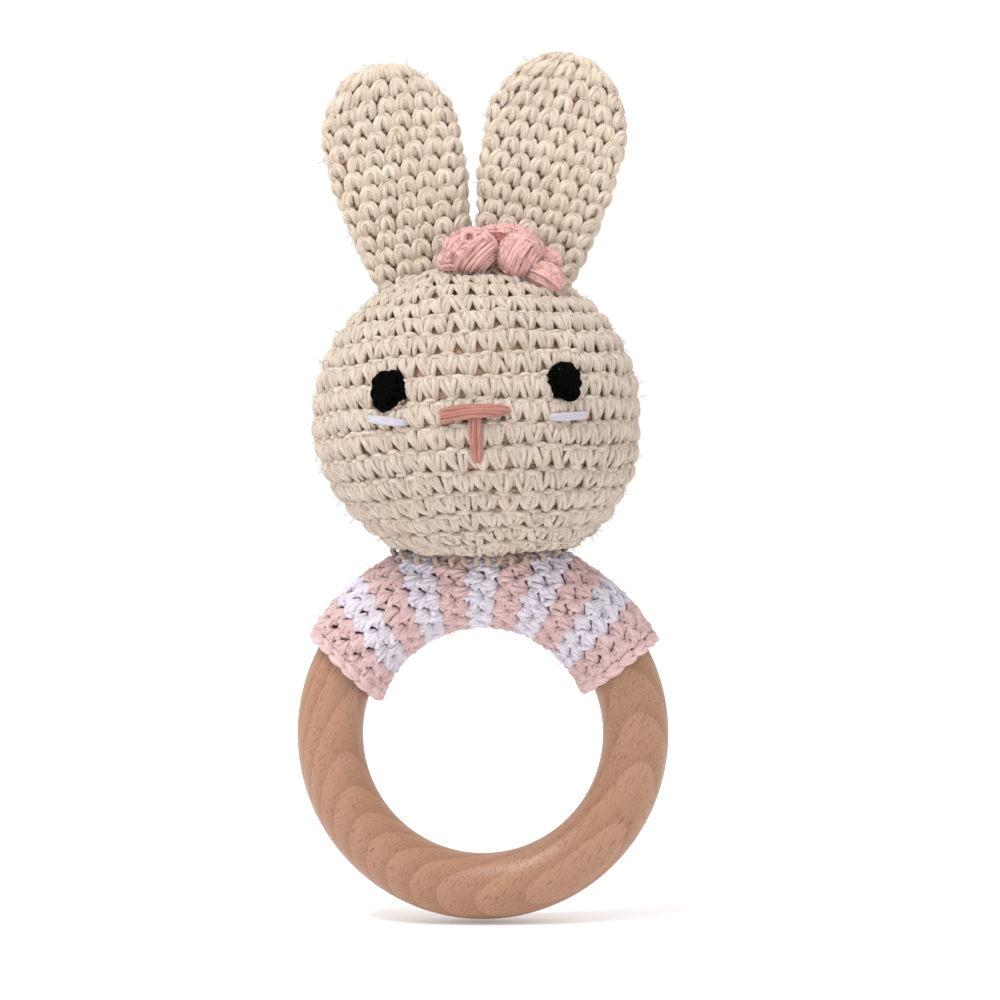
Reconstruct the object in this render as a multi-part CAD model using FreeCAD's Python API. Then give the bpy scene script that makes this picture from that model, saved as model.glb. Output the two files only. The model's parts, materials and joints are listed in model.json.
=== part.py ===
"""Crocheted rabbit rattle on a wooden teething ring.

Row frame, millimetres: the origin is the centre of the wooden ring, +Z runs up to the ears, the face looks
along -Y and the ring's axis is Y.  The striped sleeve grips the ring and can be pushed round it.  The head
nods on the sleeve, the flat ears flop about their sewn bases, and five beads run in the rattle capsule.
The sleeve and everything on it are made upright, then turned together a little way round the ring.
"""
import FreeCAD
import Part
import math
import os

Vec = FreeCAD.Vector
X_AXIS = Vec(1, 0, 0)
Y_AXIS = Vec(0, 1, 0)
Z_AXIS = Vec(0, 0, 1)
ORIGIN = Vec(0, 0, 0)

# Wooden ring
ring_outer_radius = 35.0
ring_bar_radius = 6.2
ring_centre_radius = ring_outer_radius - ring_bar_radius

# Crocheted sleeve: bands of two rows, pink and white in turn, pink at both ends
upper_turn_deg = 1.1
fabric_thickness = 2.6
sleeve_grip_gap = 0.15
sleeve_inner_radius = ring_bar_radius + sleeve_grip_gap
sleeve_outer_radius = sleeve_inner_radius + fabric_thickness
sleeve_start_deg = 29.2
sleeve_end_deg = 152.1
band_count = 11
edge_yarn_radius = 1.1
seam_stitch_count = 22
seam_angle_deg = 145.0  # round the sleeve's section, from its outer side towards the back
seam_yarn_radius = 0.5
seam_stitch_length = 2.6
seam_slant_deg = 35.0
layer_gap = 0.1

# Head: an oval cover, flat where it is sewn down over the sleeve
head_radius = 31.2
head_half_height = 29.2
head_centre_z = 59.5
neck_z = 33.6
nod_limit_deg = 10.0
nod_gap = 0.4
neck_stitch_count = 28
neck_stitch_radius = 1.0

# Rattle capsule with its beads
capsule_radius = 13.0
capsule_wall = 1.3
capsule_lip_height = 2.0
capsule_fit_gap = 0.05
bead_radius = 2.0
bead_gap = 0.1
bead_lane_radius = 5.6
outer_lane_count = 4

# Ears: flat tubes, sewn on a little behind the crown
ear_offset_x = 10.0
ear_back_y = 3.4
ear_thickness = 5.2
ear_edge_radius = 2.5
ear_base_half_width = 8.2
ear_corner_radius = 3.0
ear_gap = 0.5
ears = {
    "left": {"side": 1, "length": 42.8, "half_width": 13.7, "lean": 11.3},
    "right": {"side": -1, "length": 41.4, "half_width": 13.4, "lean": 10.6},
}
ear_stitches_each_side = 6
ear_stitch_radius = 0.9

# Face
eye_spots = {"left": (16.1, 64.6), "right": (-15.7, 63.6)}
eye_half_width = 3.0
eye_half_height = 3.6
eye_depth = 1.6
cheek_spots = {"left": (16.9, 58.5), "right": (-15.7, 58.2)}
cheek_length = 6.9
cheek_yarn_radius = 0.6
nose_z = 59.7
nose_strands = 5
nose_length = 12.3
nose_shortening = 0.06
nose_yarn_radius = 0.33
nose_pitch = 0.7
mouth_top_z = 57.7
mouth_bottom_z = 50.0
mouth_strands = 3
mouth_yarn_radius = 0.33
mouth_pitch = 0.7

# Flower on the crown, in front of the ears
flower_x = 5.8
flower_y = -11.4
petal_count = 5
petal_ring_half_x = 7.0
petal_ring_half_y = 3.9
petal_half_length = 4.8
petal_half_width = 4.1
petal_half_height = 2.9
petal_lift_deg = 15.0
petal_start_deg = 54.0
petal_rise = 1.6
flower_centre_radius = 2.4
flower_centre_rise = 3.6


def export(name, shape):
    """Write one node; a list of pieces becomes one group of separate solids."""
    if isinstance(shape, list):
        shape = Part.makeCompound(shape)
    shape.exportStep("parts/" + name + ".step")


def rotated(shape, point, axis, degrees):
    copy = shape.copy()
    copy.rotate(point, axis, degrees)
    return copy


def moved(shape, vector):
    copy = shape.copy()
    copy.translate(vector)
    return copy


def turned(shape):
    """From the upright frame of the sleeve and head to their place on the ring."""
    if isinstance(shape, list):
        return [turned(piece) for piece in shape]
    return rotated(shape, ORIGIN, Y_AXIS, -upper_turn_deg)


def ellipsoid(half_x, half_y, half_z):
    scale = FreeCAD.Matrix()
    scale.scale(half_x, half_y, half_z)
    return Part.makeSphere(1.0).transformGeometry(scale)


def bent_rod(bend_radius, yarn_radius, length):
    """A rod curved round Z, with its middle on the -Y side."""
    circle = Part.Wire(Part.Circle(Vec(0, -bend_radius, 0), X_AXIS, yarn_radius).toShape())
    degrees = math.degrees(length / bend_radius)
    rod = Part.Face(circle).revolve(ORIGIN, Z_AXIS, degrees)
    return rotated(rod, ORIGIN, Z_AXIS, -degrees / 2)


def round_ended_rod(start, end, radius):
    along = end - start
    rod = Part.makeCylinder(radius, along.Length, start, along)
    for tip in (start, end):
        rod = rod.fuse(Part.makeSphere(radius, tip))
    return rod


# ---- wooden ring and its sleeve ----

def ring_torus(tube_radius):
    """A full ring about the Y axis, round the wooden bar's centre line."""
    return Part.makeTorus(ring_centre_radius, tube_radius, ORIGIN, Y_AXIS)


def ring_direction(degrees):
    return Vec(math.cos(math.radians(degrees)), 0, math.sin(math.radians(degrees)))


def sleeve_band(start_deg, end_deg):
    centre = Vec(ring_centre_radius, 0, 0)
    outer = Part.Wire(Part.Circle(centre, Z_AXIS, sleeve_outer_radius).toShape())
    inner = Part.Wire(Part.Circle(centre, Z_AXIS, sleeve_inner_radius).toShape())
    wall = Part.Face([outer, inner])
    wall.rotate(ORIGIN, Y_AXIS, -start_deg)
    return wall.revolve(ORIGIN, -Y_AXIS, end_deg - start_deg)


def sleeve_bands():
    pitch = (sleeve_end_deg - sleeve_start_deg) / band_count
    starts = [sleeve_start_deg + i * pitch for i in range(band_count)]
    return [sleeve_band(start, start + pitch) for start in starts]


def sleeve_edge(degrees, side):
    """The chain of yarn that finishes one end of the sleeve."""
    loop_radius = sleeve_inner_radius + edge_yarn_radius
    outward = ring_direction(degrees + side * 90)
    centre = ring_direction(degrees) * ring_centre_radius + outward * edge_yarn_radius
    return Part.makeTorus(loop_radius, edge_yarn_radius, centre, outward)


def sleeve_seam():
    """Whip stitches that close the sleeve along its back, one for each row."""
    around = math.radians(seam_angle_deg)
    slant = math.radians(seam_slant_deg)
    lift = sleeve_outer_radius + seam_yarn_radius + layer_gap
    pitch = (sleeve_end_deg - sleeve_start_deg) / seam_stitch_count
    stitches = []
    for i in range(seam_stitch_count):
        at = sleeve_start_deg + (i + 0.5) * pitch
        radial = ring_direction(at)
        out = radial * math.cos(around) + Y_AXIS * math.sin(around)
        across = Y_AXIS * math.cos(around) - radial * math.sin(around)
        centre = radial * ring_centre_radius + out * lift
        along = across * math.cos(slant) + ring_direction(at + 90) * math.sin(slant)
        half = along * (seam_stitch_length / 2)
        stitches.append(round_ended_rod(centre - half, centre + half, seam_yarn_radius))
    return stitches


# ---- head ----

def head_solid(inset):
    """The head's outer form, taken in by inset all over."""
    side = head_radius - inset
    height = head_half_height - inset
    oval = moved(ellipsoid(side, side, height), Vec(0, 0, head_centre_z))
    above_neck = Part.makeBox(2 * side, 2 * side, 2 * height, Vec(-side, -side, neck_z + inset))
    return oval.common(above_neck)


def clear_of_sleeve(shape):
    """Cuts out the room that the sleeve needs as the head nods."""
    room = ring_torus(sleeve_outer_radius + nod_gap)
    pivot = Vec(0, 0, ring_centre_radius)
    for part_of_nod in (-1.0, -0.5, 0.0, 0.5, 1.0):
        shape = shape.cut(rotated(room, pivot, X_AXIS, part_of_nod * nod_limit_deg))
    return shape


def level_radius(z):
    """Radius of the head at one height."""
    return head_radius * math.sqrt(1 - ((z - head_centre_z) / head_half_height) ** 2)


def crown_point(x, y):
    height = head_half_height * math.sqrt(1 - (x * x + y * y) / head_radius ** 2)
    return Vec(x, y, head_centre_z + height)


def eye(x, z, head):
    """A flattened bulge, facing straight out from the head."""
    radius = level_radius(z)
    bulge = rotated(ellipsoid(eye_half_width, eye_depth, eye_half_height), ORIGIN, Z_AXIS,
                    math.degrees(math.asin(x / radius)))
    return moved(bulge, Vec(x, -math.sqrt(radius ** 2 - x * x), z)).cut(head)


def level_stitch(x, z, length, yarn_radius):
    """A level stitch that lies on the face and follows its curve."""
    bend = level_radius(z) + yarn_radius + layer_gap
    stitch = rotated(bent_rod(bend, yarn_radius, length), ORIGIN, Z_AXIS, math.degrees(math.asin(x / bend)))
    return moved(stitch, Vec(0, 0, z))


def nose():
    strands = []
    for i in range(nose_strands):
        step = i - (nose_strands - 1) / 2
        length = nose_length * (1 - nose_shortening * abs(step))
        strands.append(level_stitch(0, nose_z + step * nose_pitch, length, nose_yarn_radius))
    return strands


def mouth():
    """Upright strands below the nose, bent round the chin."""
    bend = head_radius + mouth_yarn_radius + layer_gap
    length = mouth_top_z - mouth_bottom_z
    middle_deg = math.degrees(math.asin((mouth_top_z + mouth_bottom_z - 2 * head_centre_z) / 2 / bend))
    strands = []
    for i in range(mouth_strands):
        strand = rotated(bent_rod(bend, mouth_yarn_radius, length), ORIGIN, Y_AXIS, 90)
        strand = rotated(strand, ORIGIN, X_AXIS, -middle_deg)
        step = i - (mouth_strands - 1) / 2
        strands.append(moved(strand, Vec(step * mouth_pitch, 0, head_centre_z)))
    return strands


def under_head_point(turn, along):
    """A place for a neck stitch: along runs 0 to 1 under the head's flat and 1 to 2 up its side."""
    off = neck_stitch_radius + layer_gap
    if along <= 1:
        radius = along * level_radius(neck_z)
        return Vec(radius * math.cos(turn), radius * math.sin(turn), neck_z - off)
    z = neck_z + (along - 1) * (head_centre_z - neck_z)
    normal = Vec(level_radius(z) / head_radius ** 2, 0, (z - head_centre_z) / head_half_height ** 2)
    normal.normalize()
    radius = level_radius(z) + off * normal.x
    return Vec(radius * math.cos(turn), radius * math.sin(turn), z + off * normal.z)


def neck_seam():
    """Stitches in the groove where the head is sewn to the sleeve, each as close to both as it can lie."""
    clear_distance = sleeve_outer_radius + nod_gap + neck_stitch_radius
    stitches = []
    for i in range(neck_stitch_count):
        turn = 2 * math.pi * (i + 0.5) / neck_stitch_count
        near, far = 0.0, 2.0
        for _ in range(30):
            middle = (near + far) / 2
            point = under_head_point(turn, middle)
            off_bar = math.hypot(math.hypot(point.x, point.z) - ring_centre_radius, point.y)
            if off_bar < clear_distance:
                near = middle
            else:
                far = middle
        stitches.append(Part.makeSphere(neck_stitch_radius, under_head_point(turn, far)))
    return stitches


# ---- ears ----

class Ear:
    """One flat ear, drawn in its own plane: X across, Z along, with its middle layer at Y = 0."""

    def __init__(self, side, length, half_width, lean):
        self.length = length
        self.half_width = half_width
        self.lean = side * lean
        self.base = crown_point(side * ear_offset_x, ear_back_y)

    def placed(self, shape):
        return moved(rotated(shape, ORIGIN, Y_AXIS, self.lean), self.base)

    def bottom(self, x):
        """Height of the ear's foot, which follows the head a small gap above it."""
        lean = math.radians(self.lean)
        drop = self.base.z - head_centre_z
        centre_x = drop * math.sin(lean) - self.base.x * math.cos(lean)
        centre_z = -drop * math.cos(lean) - self.base.x * math.sin(lean)
        radius = math.hypot(self.base.x, drop) + ear_gap
        return centre_z + math.sqrt(radius ** 2 - (x - centre_x) ** 2)

    def side_arc(self, side):
        """The ear's edge: one arc from its foot, running straight along the ear where that is widest."""
        start = Vec(side * ear_base_half_width, 0, self.bottom(side * ear_base_half_width))
        end = Vec(side * self.half_width, 0, self.length - self.half_width)
        spread = self.half_width - ear_base_half_width
        rise = end.z - start.z
        radius = (spread ** 2 + rise ** 2) / (2 * spread)
        half_turn = math.asin(rise / radius) / 2
        inward = radius * (1 - math.cos(half_turn))
        middle = Vec(end.x - side * inward, 0, end.z - radius * math.sin(half_turn))
        return Part.Arc(start, middle, end).toShape()

    def body(self):
        half = self.half_width
        shoulder = self.length - half
        right = self.side_arc(1)
        left = self.side_arc(-1)
        tip = Part.Arc(Vec(half, 0, shoulder), Vec(0, 0, self.length), Vec(-half, 0, shoulder)).toShape()
        foot_ends = [Vec(s * ear_base_half_width, 0, self.bottom(s * ear_base_half_width)) for s in (-1, 1)]
        foot = Part.Arc(foot_ends[0], Vec(0, 0, self.bottom(0)), foot_ends[1]).toShape()
        outline = Part.Wire(Part.__sortEdges__([right, tip, left, foot]))
        plate = Part.Face(outline).extrude(Vec(0, ear_thickness, 0))
        plate.translate(Vec(0, -ear_thickness / 2, 0))
        corners = [edge for edge in plate.Edges if self.is_foot_corner(edge)]
        plate = plate.makeFillet(ear_corner_radius, corners)
        rims = [edge for edge in plate.Edges if edge.BoundBox.YLength < layer_gap]
        return self.placed(plate.makeFillet(ear_edge_radius, rims))

    def is_foot_corner(self, edge):
        box = edge.BoundBox
        return box.YLength > ear_thickness / 2 and box.ZMax < self.length / 4

    def seam(self, head):
        """Stitches on the head along the front and the back of the ear's foot."""
        off_middle = ear_thickness / 2 + ear_stitch_radius
        stitches = []
        for i in range(ear_stitches_each_side):
            x = ear_base_half_width * (2 * (i + 0.5) / ear_stitches_each_side - 1)
            for face in (-1, 1):
                spot = Vec(x, face * off_middle, self.bottom(x) - ear_gap)
                stitches.append(self.placed(Part.makeSphere(ear_stitch_radius, spot)).cut(head))
        return stitches

    def hinge(self):
        """A point on the level line about which the ear flops, so that both can lie back side by side."""
        crown = head_centre_z + head_half_height
        height = crown + ear_gap + ear_thickness / 2
        x = self.base.x + (height - self.base.z) * math.tan(math.radians(self.lean))
        return turned(Part.Vertex(x, ear_back_y, height)).Point


# ---- flower ----

def petal(index):
    """One puffed petal, lifted at its outer end, laid round the flower's centre."""
    turn = math.radians(petal_start_deg + index * 360.0 / petal_count)
    across = Vec(petal_ring_half_x * math.cos(turn), petal_ring_half_y * math.sin(turn), 0)
    blank = rotated(ellipsoid(petal_half_length, petal_half_width, petal_half_height),
                    ORIGIN, Y_AXIS, -petal_lift_deg)
    pointing = rotated(blank, ORIGIN, Z_AXIS, math.degrees(math.atan2(across.y, across.x)))
    spot = crown_point(flower_x + across.x, flower_y + across.y)
    return moved(pointing, spot + Z_AXIS * petal_rise)


def flower(head):
    """The petals, each trimmed where an earlier one lies over it, and the centre."""
    middle = crown_point(flower_x, flower_y) + Z_AXIS * flower_centre_rise
    centre = Part.makeSphere(flower_centre_radius, middle)
    petals = []
    for index in range(petal_count):
        shape = petal(index).cut(head).cut(centre)
        for other in petals:
            shape = shape.cut(other)
        petals.append(max(shape.Solids, key=lambda solid: solid.Volume))
    return petals, centre.cut(head)


# ---- rattle capsule ----

capsule_centre = Vec(0, 0, head_centre_z)


def capsule_halves():
    """Two half balls; the upper one has a thin lip that drops inside the lower one's rim."""
    inner = capsule_radius - capsule_wall
    middle = capsule_radius - capsule_wall / 2
    ball = Part.makeSphere(capsule_radius, capsule_centre).cut(Part.makeSphere(inner, capsule_centre))
    size = 2 * capsule_radius
    corner = capsule_centre - Vec(capsule_radius, capsule_radius, 0)
    upper = ball.common(Part.makeBox(size, size, size, corner))
    lower = ball.common(Part.makeBox(size, size, size, corner - Z_AXIS * size))
    lip_foot = capsule_centre - Z_AXIS * capsule_lip_height
    lip = Part.makeCylinder(middle - capsule_fit_gap, capsule_lip_height, lip_foot)
    lip = lip.cut(Part.makeCylinder(inner - capsule_wall / 4, capsule_lip_height, lip_foot))
    seat_height = capsule_lip_height + capsule_fit_gap
    seat = Part.makeCylinder(middle, seat_height, capsule_centre - Z_AXIS * seat_height)
    return upper.fuse(lip).removeSplitter(), lower.cut(seat)


def bead_run(index):
    """Lowest place of a bead in its lane, and how far it can rise."""
    lane = 0.0 if index == 0 else bead_lane_radius
    turn = 2 * math.pi * (index + 0.5) / outer_lane_count
    reach = capsule_radius - capsule_wall * 1.25 - bead_radius - bead_gap
    drop = math.sqrt(reach ** 2 - lane ** 2)
    return capsule_centre + Vec(lane * math.cos(turn), lane * math.sin(turn), -drop), 2 * drop


# ---- build ----

os.makedirs("parts", exist_ok=True)

export("wooden_ring", ring_torus(ring_bar_radius))
bands = sleeve_bands()
export("sleeve_pink_rows", turned(bands[0::2]))
export("sleeve_white_rows", turned(bands[1::2]))
export("sleeve_edge_left", turned(sleeve_edge(sleeve_start_deg, -1)))
export("sleeve_edge_right", turned(sleeve_edge(sleeve_end_deg, 1)))
export("sleeve_seam_thread", turned(sleeve_seam()))

head_form = head_solid(0)
head_lining = head_solid(fabric_thickness)
stuffing_form = head_solid(fabric_thickness + layer_gap)
capsule_room = Part.makeSphere(capsule_radius + layer_gap, capsule_centre)
export("head_cover", turned(clear_of_sleeve(head_form.cut(head_lining))))
export("head_stuffing", turned(clear_of_sleeve(stuffing_form.cut(capsule_room))))
export("neck_seam_stitches", turned(neck_seam()))

capsule_upper, capsule_lower = capsule_halves()
export("rattle_capsule_upper", turned(capsule_upper))
export("rattle_capsule_lower", turned(capsule_lower))
for bead in range(outer_lane_count + 1):
    bead_place, bead_travel = bead_run(bead)
    export("rattle_bead_%d" % (bead + 1), turned(Part.makeSphere(bead_radius, bead_place)))
    print("bead", bead + 1, "travel", round(bead_travel, 3))

for name, sizes in ears.items():
    one_ear = Ear(**sizes)
    export("ear_" + name, turned(one_ear.body()))
    export("ear_seam_" + name, turned(one_ear.seam(head_form)))
    print("ear", name, "hinge", [round(v, 4) for v in one_ear.hinge()])

for name in ears:
    export("eye_" + name, turned(eye(*eye_spots[name], head_form)))
    cheek = level_stitch(*cheek_spots[name], cheek_length, cheek_yarn_radius)
    export("cheek_stitch_" + name, turned(cheek))
export("nose_stitches", turned(nose()))
export("mouth_stitches", turned(mouth()))

flower_petals, flower_centre = flower(head_form)
for number, shape in enumerate(flower_petals, 1):
    export("flower_petal_%d" % number, turned(shape))
export("flower_centre", turned(flower_centre))
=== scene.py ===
import json
import math
import bpy
import numpy as np
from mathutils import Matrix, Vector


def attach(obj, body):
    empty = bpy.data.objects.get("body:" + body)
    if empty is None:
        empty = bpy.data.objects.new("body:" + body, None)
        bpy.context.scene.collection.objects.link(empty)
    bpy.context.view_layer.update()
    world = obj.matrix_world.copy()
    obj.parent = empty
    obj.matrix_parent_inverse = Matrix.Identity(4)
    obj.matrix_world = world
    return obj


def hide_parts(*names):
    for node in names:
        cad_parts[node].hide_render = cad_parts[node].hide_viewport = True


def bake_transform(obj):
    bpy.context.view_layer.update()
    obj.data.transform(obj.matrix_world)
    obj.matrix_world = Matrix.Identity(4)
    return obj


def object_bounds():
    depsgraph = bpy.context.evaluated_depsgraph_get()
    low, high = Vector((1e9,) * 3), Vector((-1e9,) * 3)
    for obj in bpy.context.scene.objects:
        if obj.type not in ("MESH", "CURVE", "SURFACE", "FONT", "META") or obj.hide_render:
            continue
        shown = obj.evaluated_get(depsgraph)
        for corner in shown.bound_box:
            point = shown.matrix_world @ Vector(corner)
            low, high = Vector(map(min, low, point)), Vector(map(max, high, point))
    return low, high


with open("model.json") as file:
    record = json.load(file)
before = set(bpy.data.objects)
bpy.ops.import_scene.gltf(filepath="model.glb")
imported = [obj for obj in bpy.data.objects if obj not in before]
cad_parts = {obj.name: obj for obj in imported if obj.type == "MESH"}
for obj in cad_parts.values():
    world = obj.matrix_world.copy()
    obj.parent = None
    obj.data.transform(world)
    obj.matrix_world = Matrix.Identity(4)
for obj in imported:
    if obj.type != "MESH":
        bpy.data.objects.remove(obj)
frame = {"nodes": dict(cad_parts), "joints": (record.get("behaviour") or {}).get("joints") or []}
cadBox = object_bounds()
mm = 0.001
joints = {j["name"]: j for j in frame["joints"]}
rng = np.random.default_rng(7)

# level, straight at the face
camera = {"distance": 0.480, "right": 0.0032, "height": 0.044, "lens": 91.6}
camData = bpy.data.cameras.new("studioCamera")
camData.lens = camera["lens"]
camData.clip_start = 0.01
cam = bpy.data.objects.new("studioCamera", camData)
cam.location = (camera["right"], -camera["distance"], camera["height"])
cam.rotation_euler = (math.pi / 2, 0, 0)
bpy.context.scene.collection.objects.link(cam)
bpy.context.scene.camera = cam


def rgb(r, g, b):
    # display values 0 to 255, as a linear colour
    def lin(c):
        c = c / 255
        return c / 12.92 if c <= 0.04045 else ((c + 0.055) / 1.055) ** 2.4
    return (lin(r), lin(g), lin(b), 1.0)


class Value:
    # one number socket, so that shader maths reads like plain maths
    def __init__(self, look, socket):
        self.look = look
        self.socket = socket

    def maths(self, operation, a, b=0.0):
        return self.look.add("ShaderNodeMath", {"operation": operation}, {0: a, 1: b})

    def __add__(self, other):
        return self.maths("ADD", self, other)

    def __radd__(self, other):
        return self.maths("ADD", other, self)

    def __sub__(self, other):
        return self.maths("SUBTRACT", self, other)

    def __rsub__(self, other):
        return self.maths("SUBTRACT", other, self)

    def __mul__(self, other):
        return self.maths("MULTIPLY", self, other)

    def __rmul__(self, other):
        return self.maths("MULTIPLY", other, self)

    def __truediv__(self, other):
        return self.maths("DIVIDE", self, other)

    def __rtruediv__(self, other):
        return self.maths("DIVIDE", other, self)

    def __pow__(self, other):
        return self.maths("POWER", self, other)

    def sine(self):
        return self.maths("SINE", self)

    def wrap(self):
        return self.maths("FRACT", self)

    def least(self, other):
        return self.maths("MINIMUM", self, other)

    def most(self, other):
        return self.maths("MAXIMUM", self, other)


class Look:
    # a material and the few calls that build its nodes
    def __init__(self, name, roughness=0.8, **constants):
        self.material = bpy.data.materials.new(name)
        self.material.use_nodes = True
        self.tree = self.material.node_tree
        self.shader = self.tree.nodes["Principled BSDF"]
        self.shader.inputs["Roughness"].default_value = roughness
        for socket, value in constants.items():
            self.shader.inputs[socket.replace("_", " ")].default_value = value

    def add(self, kind, settings=None, inputs=None, output=0):
        node = self.tree.nodes.new(kind)
        for key, value in (settings or {}).items():
            if key == "stops":
                while len(node.color_ramp.elements) < len(value):
                    node.color_ramp.elements.new(0.5)
                for element, (position, colour) in zip(node.color_ramp.elements, value):
                    element.position = position
                    element.color = colour
            else:
                setattr(node, key, value)
        for key, value in (inputs or {}).items():
            self.feed(node.inputs[key], value)
        return Value(self, node.outputs[output])

    def feed(self, socket, value):
        if isinstance(value, Value):
            self.tree.links.new(value.socket, socket)
        else:
            socket.default_value = value

    def mix(self, factor, a, b):
        return self.add("ShaderNodeMix", {"data_type": "RGBA"}, {0: factor, 6: a, 7: b}, 2)

    def split(self, vector):
        node = self.tree.nodes.new("ShaderNodeSeparateXYZ")
        self.feed(node.inputs[0], vector)
        return [Value(self, out) for out in node.outputs]

    def spot(self):
        return self.add("ShaderNodeTexCoord", {}, {}, "Object")

    def ramp(self, value, low, high):
        # 0 below low, 1 above high
        return self.add("ShaderNodeMapRange", {"interpolation_type": "SMOOTHSTEP"},
                        {0: value, 1: low, 2: high})

    def noise(self, scale, detail=3.0, vector=None, roughness=0.55):
        return self.add("ShaderNodeTexNoise", {},
                        {"Vector": vector or self.spot(), "Scale": scale, "Detail": detail,
                         "Roughness": roughness})

    def bump(self, height, distance, strength=1.0):
        return self.add("ShaderNodeBump", {}, {"Height": height, "Distance": distance, "Strength": strength})

    def wear(self, **links):
        for socket, value in links.items():
            self.feed(self.shader.inputs[socket.replace("_", " ")], value)
        return self.material


def yarnLook(name, light, dark, plies=4, twist=0.30, grooveShadeAndBump=0.10, fibre=0.30, roughness=0.85, sheen=0.2,
             shine=0.2):
    # UV x runs along the strand in millimetres, UV y once round it
    look = Look(name, roughness=roughness, Sheen_Weight=sheen, Sheen_Roughness=0.5, Specular_IOR_Level=shine)
    along, around, _ = look.split(look.add("ShaderNodeUVMap", {"uv_map": "yarn"}))
    tone = look.add("ShaderNodeAttribute", {"attribute_name": "tone"}, {}, "Fac")
    # painted shade: this attribute darkens the yarn where a strand sinks below the surface
    depth = look.add("ShaderNodeAttribute", {"attribute_name": "depth"}, {}, "Fac")
    # painted shade: the grooves between the plies are painted darker, and the same grooves also feed the bump
    ply = ((around * plies + along * twist) * (2 * math.pi)).sine() * 0.5 + 0.5
    hairs = look.add("ShaderNodeCombineXYZ", {},
                     {0: along * 0.7, 1: around * 26.0 + along * 1.3, 2: tone * 9.0})
    hair = look.noise(1.0, 2.0, hairs, 0.6)
    blotch = look.noise(230.0, 2.0)
    shade = (ply ** 0.6) * grooveShadeAndBump + (hair - 0.5) * fibre * 3.0 + (blotch - 0.5) * 0.3 + tone * 0.16 - 0.1
    body = look.mix((0.72 + shade - depth * 0.85).most(0.0).least(1.0), dark, light)
    relief = (ply ** 0.5) * grooveShadeAndBump * 1.6 + hair * fibre
    return look.wear(Base_Color=body, Normal=look.bump(relief, 0.0009, 0.9))


# from here on lengths are in millimetres, and only the finished meshes are in metres
def smoothPath(points, samples):
    # a smooth line through a few given points, whatever their number of columns
    p = np.array(points, float)
    p = np.vstack([2 * p[0] - p[1], p, 2 * p[-1] - p[-2]])
    t = np.linspace(0, len(points) - 1, samples)
    i = np.minimum(t.astype(int), len(points) - 2)
    f = (t - i)[:, None]
    a, b, c, d = p[i], p[i + 1], p[i + 2], p[i + 3]
    return 0.5 * (2 * b + (c - a) * f + (2 * a - 5 * b + 4 * c - d) * f ** 2
                  + (3 * b - a - 3 * c + d) * f ** 3)


def unit(v):
    return v / np.maximum(np.linalg.norm(v, axis=-1, keepdims=True), 1e-9)


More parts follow.
